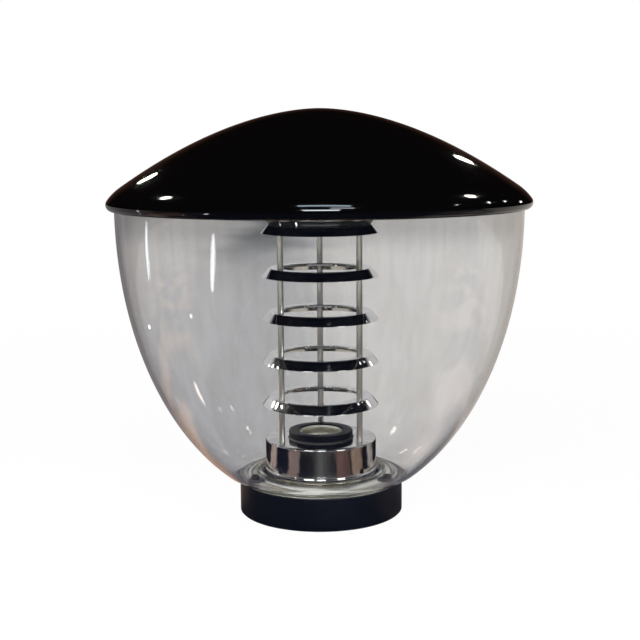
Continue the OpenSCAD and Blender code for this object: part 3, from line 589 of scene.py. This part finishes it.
def grown(name, mesh, tree, **sizes):
    """Runs a tree on a mesh and gives back an object with the plain result."""
    thing = bpy.data.objects.new(name, mesh)
    scene.collection.objects.link(thing)
    growth = thing.modifiers.new("growth", "NODES")
    growth.node_group = tree
    for item in tree.interface.items_tree:
        if item.name.replace(" ", "_") in sizes:
            growth[item.identifier] = sizes[item.name.replace(" ", "_")]
    depsgraph = bpy.context.evaluated_depsgraph_get()
    thing.data = bpy.data.meshes.new_from_object(thing.evaluated_get(depsgraph))
    thing.modifiers.clear()
    thing.data.name = name
    facing_out(thing.data)
    return thing


coil, size = new_plan("coil", [("Turns", "Float"), ("Radius", "Float"), ("Foot", "Float"),
                               ("Height", "Float"), ("Wire", "Float"), ("Finish", "Material")])
path = size["Turns"].node("GeometryNodeCurveSpiral", Resolution=24, Rotations=size["Turns"],
                          Start_Radius=size["Radius"], End_Radius=size["Radius"], Height=size["Height"])
section = path.node("GeometryNodeCurvePrimitiveCircle", Resolution=10, Radius=size["Wire"] / 2)
wound = path.node("GeometryNodeCurveToMesh", Curve=path, Profile_Curve=section, Fill_Caps=True)
seat = path.node("ShaderNodeCombineXYZ", Z=size["Foot"])
end_plan(coil, path.node("GeometryNodeTransform", Geometry=wound, Translation=seat), size["Finish"])

wire_coil = grown("contact_coil", bpy.data.meshes.new("contact_coil"), coil, Turns=COIL_TURNS,
                  Radius=COIL_R / 1000, Foot=(SPRING_LOW + COIL_WIRE / 2) / 1000,
                  Height=(SPRING_HIGH - SPRING_LOW - COIL_WIRE) / 1000, Wire=COIL_WIRE / 1000, Finish=spring)
piece("contact_coil", wire_coil, "head", spring, "spring_steel", "contact_spring")
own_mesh(wire_coil)

# The mirror cup is spun from bright aluminium. Its flat lip hides the holder's foot and
# carries the louvre stack; a rolled bead stiffens its side just above the neck.
CUP_R = 56.4
CUP_FOOT = 33.0
CUP_TOP = 74.7
CUP_WALL = 1.5
CUP_HEM = 5.0
CUP_HOLE = HOLDER_R + 1
BEAD_Z = 44.0
BEAD_H, BEAD_OUT = 1.6, 1.2


def mirror(name, low, high, bands):
    """Bright spun aluminium: fine turning lines, a light haze and soft vertical bands of painted reflection.
    """
    finish, chrome = new_finish(name)
    spot = chrome.node("ShaderNodeSeparateXYZ", _0=spot_on(chrome))
    fine = chrome.node("ShaderNodeCombineXYZ", X=from_axis(spot) * 900, Y=spot.other("Z") * 900)
    lines = chrome.node("ShaderNodeTexNoise", Vector=fine, Scale=1.0, Detail=3.0)
    # Painted reflection: lighter and darker vertical bands round the axis, in the metal's colour.
    turn = chrome.math("ARCTAN2", spot.other("Y"), spot)
    upright = chrome.node("ShaderNodeCombineXYZ", X=turn * bands)
    painted_reflection_band = chrome.node("ShaderNodeTexNoise", Vector=upright, Scale=1.0, Detail=2.0)
    chrome.feed(Base_Color=painted_reflection_band.step(0.35, 0.65).blend(low, high), Metallic=1.0,
                Roughness=0.03 + 0.05 * noise(chrome, 55, 3), Normal=bump(chrome, lines, 0.06, 0.00004))
    return finish


cup_mirror = mirror("mirror_cup", (0.62, 0.6, 0.6), (0.86, 0.85, 0.84), 3.0)
cup_side = [(CUP_R - CUP_HEM, CUP_FOOT), (CUP_R, CUP_FOOT), (CUP_R, BEAD_Z - BEAD_H),
            (CUP_R + BEAD_OUT, BEAD_Z), (CUP_R, BEAD_Z + BEAD_H), (CUP_R, CUP_TOP), (CUP_HOLE, CUP_TOP),
            (CUP_HOLE, CUP_TOP - CUP_WALL), (CUP_R - CUP_WALL, CUP_TOP - CUP_WALL),
            (CUP_R - CUP_WALL, CUP_FOOT + CUP_WALL), (CUP_R - CUP_HEM, CUP_FOOT + CUP_WALL)]
piece("cup", turned("cup", [eased(cup_side, 1.6, 5)], 192), "head", cup_mirror, "mirror_cup", "mirror_cup")

# Three steel rods tie the stack to the deck. Bright drawn tubes are threaded over them as
# spacers, one set under each ring, and pillars of the same tube stand inside the cup.
ROD_CIRCLE = 45.0
RODS = 3
FIRST_ROD = math.radians(-30)
TUBE_R, TUBE_BORE = 3.0, 2.1
PITCH = 43.5
RINGS = 5
RING_H = 9.0
FIRST_RING = 109.3
SHEET = 1.2


def drawn_noise(wire, across, along, detail=2.0):
    """Noise that is drawn out along the height, in cells per metre across and along."""
    stretched = wire.node("ShaderNodeVectorMath", {"operation": "MULTIPLY"}, _0=spot_on(wire),
                          _1=(across, across, along))
    return wire.node("ShaderNodeTexNoise", Vector=stretched, Scale=1.0, Detail=detail)


def drawn_finish(name, low, high, rough, grain):
    """Bright metal with fine drawing lines along it."""
    finish, drawn = new_finish(name)
    lines = drawn_noise(drawn, *grain)
    drawn.feed(Base_Color=lines.blend(low, high), Metallic=1.0, Roughness=rough[0] + rough[1] * lines,
               Normal=bump(drawn, lines, 0.08, 0.00003))
    return finish


steel = drawn_finish("steel_rod", (0.55, 0.55, 0.57), (0.7, 0.7, 0.72), rough=(0.18, 0.14), grain=(2500, 60))
dress(steel, "tie_rods")
bright_tube = drawn_finish("bright_tube", (0.9, 0.89, 0.84), (0.97, 0.96, 0.92), rough=(0.24, 0.12),
                           grain=(1800, 40))
dress(bright_tube, "cup_pillars")

repeat, given = new_plan("repeat", [("Count", "Int"), ("Rise", "Float"), ("Turn", "Float"),
                                    ("First turn", "Float"), ("Finish", "Material")])
index = given["Count"].node("GeometryNodeInputIndex")
lift = index.node("ShaderNodeCombineXYZ", Z=index * given["Rise"])
spin = index.node("ShaderNodeCombineXYZ", Z=given["First turn"] + index * given["Turn"])
stations = index.node("GeometryNodeMeshLine", Count=given["Count"], Offset=(0, 0, 0))
stations = index.node("GeometryNodeSetPosition", Geometry=stations, Offset=lift)
copies = index.node("GeometryNodeInstanceOnPoints", Points=stations, Instance=given["Geometry"],
                    Rotation=index.node("FunctionNodeEulerToRotation", _0=spin))
end_plan(repeat, copies, given["Finish"])


def sleeve_tube(low, high):
    """One tube over a rod, with its ends deburred."""
    wall = eased([(TUBE_BORE, low), (TUBE_R, low), (TUBE_R, high), (TUBE_BORE, high)], 0.35, 3)
    mesh = turned("tube", [wall], 32)
    mesh.transform(Matrix.Translation((ROD_CIRCLE / 1000, 0, 0)))
    return mesh


for n in range(1, RINGS + 1):
    top = FIRST_RING + (RINGS - n) * PITCH + RING_H - SHEET
    low = CUP_TOP if n == RINGS else top - PITCH + SHEET
    tubes = grown(f"spacer_tubes_{n}", sleeve_tube(low, top), repeat, Count=RODS, Rise=0.0,
                  Turn=math.radians(360 / RODS), First_turn=FIRST_ROD, Finish=bright_tube)
    piece(f"spacer_tubes_{n}", tubes, "head", bright_tube, "bright_tube", f"spacers_{n}")

# The louvre rings are spun from the same bright sheet as the cup: a cone below, a flat lip on
# the spacers and a hem round the opening. The sixth sits upside down on top as a flare.
LIP_R, HEM_R, EDGE_R = 51.5, 39.7, 59.1
HEM_H = 3.0

ring_mirror = mirror("mirror_ring", (0.8, 0.8, 0.81), (0.88, 0.88, 0.88), 2.0)
ring_outline = [(EDGE_R - 0.1 - SHEET, 0.15), (EDGE_R - 0.1, 0.1), (LIP_R, RING_H), (HEM_R, RING_H),
                (HEM_R, RING_H - HEM_H), (HEM_R + SHEET, RING_H - HEM_H), (HEM_R + SHEET, RING_H - SHEET),
                (LIP_R - 0.5, RING_H - SHEET)]
ring_outline = eased(ring_outline, 1.0, 4)


def spun_ring(name, low, flip=False):
    """The turned ring with its lower edge at low, or its upper edge when it is flipped."""
    return turned(name, [[(r, low + (-h if flip else h)) for r, h in ring_outline]], 192)


louvres = grown("louvre_rings", spun_ring("ring", FIRST_RING), repeat, Count=RINGS, Rise=PITCH / 1000,
                Turn=0.0, First_turn=0.0, Finish=ring_mirror)
piece("louvre_rings", louvres, "head", ring_mirror, "mirror_ring", "louvre_1", "louvre_2", "louvre_3",
      "louvre_4", "louvre_5")
stack_top = FIRST_RING + (RINGS - 1) * PITCH + RING_H
piece("flare_ring", spun_ring("flare_ring", stack_top + RING_H, True), "head", ring_mirror, "mirror_ring",
      "top_flare")

# Washers and dome nuts close the rods on top of the flare. They are turned, chromed and
# screwed down on the rods' threads.
chrome_nut = worn_finish("chrome_nut", (0.78, 0.78, 0.8), (0.86, 0.86, 0.87), rough=(0.06, 0.1),
                         wear=(260, 3), relief=(0.05, 0.00005), Metallic=1.0)
dress(chrome_nut, "rod_washers", "rod_dome_nuts")

# The bowl is one clear plastic moulding. A flange and a neck lip stand on the collar, the
# thin side opens to a thick bead at the mouth, and fine rings lie inside the neck.
SIDE_TOP = 310.0
SIDE_R = 201.92
SIDE_DEPTH = 303.1
FULLNESS = 2.07
BOWL_FOOT = 42.0
BOWL_WALL = 3.0
BOWL_AROUND = 256
FLANGE_R, FLANGE_LOW, FLANGE_TOP = 82.2, 33.0, 38.0
NECK_BORE, NECK_R, NECK_TOP = 62.0, 66.0, 43.0
GROOVE = 0.6
GROOVE_POINTS = 16
BEND_FROM, BEND_TO = (81.5, FLANGE_TOP), (88.6, FLANGE_TOP)
BEAD_TOP, BEAD_W = 316.0, 5.0


def side_point(z, wall):
    """Radius and height of a point of the bowl's side, wall millimetres inside its outer face."""
    q = (SIDE_TOP - z) / SIDE_DEPTH
    r = SIDE_R * (1 - q ** FULLNESS) ** (1 / FULLNESS)
    slope = SIDE_R / SIDE_DEPTH * q ** (FULLNESS - 1) * (1 - q ** FULLNESS) ** (1 / FULLNESS - 1)
    length = math.sqrt(1 + slope * slope)
    return (r - wall / length, z + wall * slope / length)


def flat_sheet(size):
    """A grid over the object: the grid, the angle round the axis and the share of the way down."""
    start = size["Geometry"]
    sheet = start.node("GeometryNodeMeshGrid", Size_X=1.0, Size_Y=1.0, Vertices_X=size["Around"] + 1,
                       Vertices_Y=size["Up"] + 1)
    where = start.node("ShaderNodeSeparateXYZ", _0=start.node("GeometryNodeInputPosition"))
    return sheet, (where + 0.5) * (2 * math.pi), start.math("MAXIMUM", 0.5 - where.other("Y"), 0.0)


def wrapped(sheet, turn, radius, height):
    """The grid bent round the axis."""
    spread = sheet.node("ShaderNodeCombineXYZ", X=radius * sheet.math("COSINE", turn),
                        Y=radius * sheet.math("SINE", turn), Z=height)
    return sheet.node("GeometryNodeSetPosition", Geometry=sheet, Position=spread)


def welded(tree, skins):
    """All skins as one, merged where their edges touch."""
    whole = skins[0].node("GeometryNodeJoinGeometry")
    for skin in skins:
        tree.links.new(skin.socket, whole.socket.node.inputs[0])
    return whole.node("GeometryNodeMergeByDistance", Geometry=whole, Distance=2e-5)


side, size = new_plan("bowl_side", [("Around", "Int"), ("Up", "Int"), ("Mouth radius", "Float"),
                                    ("Mouth height", "Float"), ("Bead height", "Float"), ("Depth", "Float"),
                                    ("Fullness", "Float"), ("Foot height", "Float"), ("Wall", "Float"),
                                    ("Finish", "Material")])
full = size["Fullness"]
skins = [size["Geometry"]]
for share in (0.0, 1.0):
    sheet, turn, down = flat_sheet(size)
    brim = size["Mouth height"] - size["Bead height"] * share
    height = size["Foot height"] + (brim - size["Foot height"]) * (1 - down ** 1.3)
    q = (size["Mouth height"] - height) / size["Depth"]
    left = sheet.math("MAXIMUM", 1 - q ** full, 1e-6)
    radius = size["Mouth radius"] * left ** (1 / full)
    slope = size["Mouth radius"] / size["Depth"] * q ** (full - 1) * left ** (1 / full - 1)
    length = (1 + slope * slope) ** 0.5
    inward = size["Wall"] * share
    skins.append(wrapped(sheet, turn, radius - inward / length, height + inward * slope / length))
end_plan(side, welded(side, skins), size["Finish"])

plastic, clear = new_finish("clear_plastic")
film = noise(clear, 14, 3)
streak = drawn_noise(clear, 90, 4, 4.0)
tint = (0.3 * film + 0.7 * streak).step(0.3, 0.7)
clear.feed(Base_Color=tint.blend((0.79, 0.785, 0.78), (0.84, 0.84, 0.845)),
           Roughness=0.004 + 0.016 * film, Transmission_Weight=1.0, IOR=1.49,
           Normal=bump(clear, noise(clear, 9), 0.25, 0.0016))

# The thick neck is slightly milky, in rings that follow its grooves, whose pale and cream tones are partly
# painted highlights. Light passes the plastic with little loss, so that it casts only a faint shadow.
spot = clear.node("ShaderNodeSeparateXYZ", _0=spot_on(clear))
from_middle = from_axis(spot)
ringed = clear.node("ShaderNodeCombineXYZ", X=from_middle * 520, Y=spot * 9, Z=spot.other("Y") * 9)
rings = clear.node("ShaderNodeTexNoise", Vector=ringed, Scale=1.0, Detail=3.0)
low_down = spot.other("Z").step(0.036, 0.041, 1.0, 0.0)
haze = low_down * from_middle.step(0.076, 0.083, 1.0, 0.12) * rings.step(0.4, 0.56, 0.05, 0.75)
# Partly painted highlight: pale and cream rings stand in for bright streaks in the thick neck.
milky_glint_shader = clear.node("ShaderNodeBsdfPrincipled", Roughness=0.25,
                   Base_Color=rings.step(0.3, 0.6).blend((0.7, 0.66, 0.5), (0.96, 0.95, 0.9)))
moulded = clear.node("ShaderNodeMixShader", _0=haze, _1=clear, _2=milky_glint_shader)
shadow = clear.node("ShaderNodeLightPath", out="Is Shadow Ray")
faint = clear.node("ShaderNodeBsdfTransparent", Color=(0.93, 0.93, 0.93, 1))
show(plastic, clear.node("ShaderNodeMixShader", _0=shadow, _1=moulded, _2=faint))

foot = [side_point(BOWL_FOOT, 0), (FLANGE_R + 0.3, FLANGE_LOW + 0.6), (FLANGE_R, FLANGE_LOW),
        (NECK_BORE, FLANGE_LOW), (NECK_BORE, NECK_TOP), (NECK_R, NECK_TOP), (NECK_R, FLANGE_TOP)]
foot += [(NECK_R + GROOVE * (k + 1), FLANGE_TOP - GROOVE / 2 * (1 + math.cos(math.pi * k / 3)))
         for k in range(GROOVE_POINTS)]
foot += [(NECK_R + GROOVE * (GROOVE_POINTS + 1), FLANGE_TOP)]
bend, wall_end = Vector(BEND_TO), Vector(side_point(BOWL_FOOT, BOWL_WALL))
foot += [Vector(BEND_FROM).lerp(bend, t).lerp(bend.lerp(wall_end, t), t) for t in (0, 0.2, 0.4, 0.6, 0.8, 1)]
bead = [side_point(SIDE_TOP, 0), (SIDE_R, BEAD_TOP), (SIDE_R - BEAD_W, BEAD_TOP), (SIDE_R - BEAD_W, SIDE_TOP),
        side_point(SIDE_TOP - 2, BOWL_WALL)]
ends = turned("bowl_ends", [eased(foot, 0.8, 3, False), eased(bead, 1.4, 5, False)], BOWL_AROUND, False)
bowl = grown("clear_bowl", ends, side, Around=BOWL_AROUND, Up=72, Mouth_radius=SIDE_R / 1000,
             Mouth_height=SIDE_TOP / 1000, Bead_height=0.002, Depth=SIDE_DEPTH / 1000, Fullness=FULLNESS,
             Foot_height=BOWL_FOOT / 1000, Wall=BOWL_WALL / 1000, Finish=plastic)
piece("clear_bowl", bowl, "head", plastic, "clear_plastic", "bowl")

# Three pressed clips lie on the bowl's flange, each under a socket screw in the collar. The
# clips are lacquered black and the screws are blackened steel.
clip_black = worn_finish("black_clip", (0.02, 0.021, 0.025), (0.05, 0.051, 0.056), rough=(0.3, 0.2),
                         wear=(180, 4), relief=(0.15, 0.00008))
dress(clip_black, "bowl_clips")
screw_black = worn_finish("dark_screw", (0.05, 0.045, 0.045), (0.1, 0.09, 0.085), rough=(0.28, 0.2),
                          wear=(300, 3), relief=(0.15, 0.00005), Metallic=1.0)
dress(screw_black, "clip_screws")

# The canopy is spun from sheet and enamelled gloss black. Its edge is rolled in under the rim,
# and a rib on its underside carries the seal, the leaf springs and their rivets.
PEAK = 406.0
DOME_R = 210.0
DOME_DROP = 85.8
DOME_FULLNESS = 1.8
DOME_EDGE = 196.0
CANOPY_WALL = 2.2
CANOPY_AROUND = 256
ROLL_AT = Vector((203.8, 314.0))
ROLL_R = 6.2
ROLL_START, ROLL_END = -100, 35
RIB_LOW, RIB_IN, RIB_OUT = 318.5, 196.6, 201.9
RIB_ROOT = 1.2


def dome_point(r, wall):
    """Radius and height of a point of the dome, wall millimetres under its outer face."""
    height = PEAK - DOME_DROP * (r / DOME_R) ** DOME_FULLNESS
    slope = DOME_DROP * DOME_FULLNESS / DOME_R * (r / DOME_R) ** (DOME_FULLNESS - 1)
    length = math.sqrt(1 + slope * slope)
    return Vector((r - wall * slope / length, height - wall / length))


def swept_round(radius, start, end, cuts=22):
    """Points of the rolled rim's section, from one angle to another in degrees."""
    angles = [math.radians(start + (end - start) * k / cuts) for k in range(cuts + 1)]
    return [ROLL_AT + radius * Vector((math.cos(a), math.sin(a))) for a in angles]


def eased_up(start, leave, end, arrive, cuts=14):
    """A curve from the roll up to the dome that keeps both directions."""
    reach = (end - start).length / 3
    a, b = start + leave.normalized() * reach, end - arrive.normalized() * reach
    return [start * (1 - t) ** 3 + a * 3 * t * (1 - t) ** 2 + b * 3 * t * t * (1 - t) + end * t ** 3
            for t in [k / cuts for k in range(1, cuts + 1)]]


dome, size = new_plan("dome", [("Around", "Int"), ("Up", "Int"), ("Edge radius", "Float"), ("Peak", "Float"),
                               ("Drop", "Float"), ("Full radius", "Float"), ("Fullness", "Float"),
                               ("Wall", "Float"), ("Finish", "Material")])
full = size["Fullness"]
skins = [size["Geometry"]]
for share in (0.0, 1.0):
    sheet, turn, down = flat_sheet(size)
    radius = size["Edge radius"] * down
    q = radius / size["Full radius"]
    slope = size["Drop"] * full / size["Full radius"] * q ** (full - 1)
    length = (1 + slope * slope) ** 0.5
    under = size["Wall"] * share
    height = size["Peak"] - size["Drop"] * q ** full - under / length
    skins.append(wrapped(sheet, turn, sheet.math("MAXIMUM", radius - under * slope / length, 0.0), height))
end_plan(dome, welded(dome, skins), size["Finish"])

enamel, black = new_finish("black_gloss")
peel = noise(black, 60)
black.feed(Base_Color=noise(black, 8, 3).blend((0.0006, 0.0006, 0.0008), (0.0016, 0.0015, 0.0016)),
           Roughness=0.045 + 0.03 * peel, Normal=bump(black, peel, 0.08, 0.0002))

outer = swept_round(ROLL_R, ROLL_START, ROLL_END)
inner = swept_round(ROLL_R - CANOPY_WALL, ROLL_END, ROLL_START)
up = Vector((-math.sin(math.radians(ROLL_END)), math.cos(math.radians(ROLL_END))))
crest, ceiling = dome_point(DOME_EDGE, 0), dome_point(DOME_EDGE, CANOPY_WALL)
flat = crest - dome_point(DOME_EDGE + 0.1, 0)
rolled = eased_up(inner[0], up, ceiling, flat)[::-1] + inner + outer + eased_up(outer[-1], up, crest, flat)
rib = eased([(RIB_IN, RIB_LOW), (RIB_OUT, RIB_LOW), dome_point(RIB_OUT, RIB_ROOT),
             dome_point(RIB_IN, RIB_ROOT)], 0.6, 3)
rim = turned("rim", [rolled, rib + rib[:1]], CANOPY_AROUND, False)
canopy = grown("spun_canopy", rim, dome, Around=CANOPY_AROUND, Up=56, Edge_radius=DOME_EDGE / 1000,
               Peak=PEAK / 1000, Drop=DOME_DROP / 1000, Full_radius=DOME_R / 1000, Fullness=DOME_FULLNESS,
               Wall=CANOPY_WALL / 1000, Finish=enamel)
piece("spun_canopy", canopy, "canopy_set", enamel, "black_gloss", "canopy")
